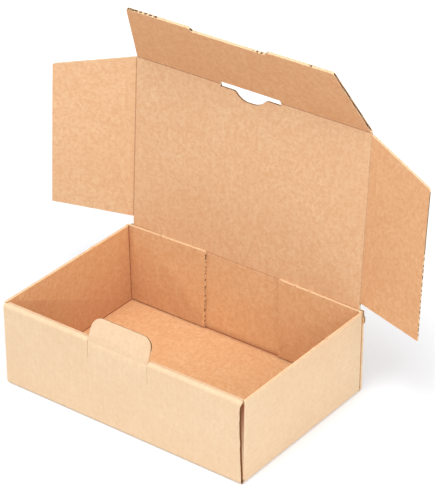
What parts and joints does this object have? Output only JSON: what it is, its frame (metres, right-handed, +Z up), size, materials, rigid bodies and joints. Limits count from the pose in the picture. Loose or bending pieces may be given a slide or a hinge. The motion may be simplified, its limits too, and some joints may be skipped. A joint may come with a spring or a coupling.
{
  "type": "shipping box",
  "caption": "Die-cut corrugated mailer box standing open: folded tray with rolled-over double front wall and locking tongue, hinged lid with two ear flaps and a tuck flap.",
  "frame": {"origin": "middle of the tray floor's underside", "axes": "+X right along the front wall, +Y to the back wall and hinge, +Z up"},
  "size_m": [0.4769, 0.2228, 0.3703],
  "materials": {
    "kraft_board": "uncoated brown kraft liners on a B-flute core, matt"
  },
  "bodies": {
    "tray": {"tray": "kraft_board"},
    "lid": {"lid": "kraft_board"},
    "left_ear": {"left_ear_flap": "kraft_board"},
    "right_ear": {"right_ear_flap": "kraft_board"},
    "tuck": {"tuck_flap": "kraft_board"}
  },
  "joints": [
    {"name": "lid_hinge", "type": "hinge", "parent": "tray", "child": "lid", "pos_m": [0, 0.1025, 0.0996], "axis": [-1, 0, 0], "range_deg": [-88.5, 85]},
    {"name": "left_ear_hinge", "type": "hinge", "parent": "lid", "child": "left_ear", "pos_m": [-0.1482, 0.104, 0.09951], "axis": [0, 0.061, 0.9981], "range_deg": [-18.7, 71.3]},
    {"name": "right_ear_hinge", "type": "hinge", "parent": "lid", "child": "right_ear", "pos_m": [0.1482, 0.104, 0.09951], "axis": [0, -0.061, -0.9981], "range_deg": [-19.6, 70.4]},
    {"name": "tuck_hinge", "type": "hinge", "parent": "lid", "child": "tuck", "pos_m": [0, 0.11596, 0.29514], "axis": [1, 0, 0], "range_deg": [-32.4, 65]}
  ]
}
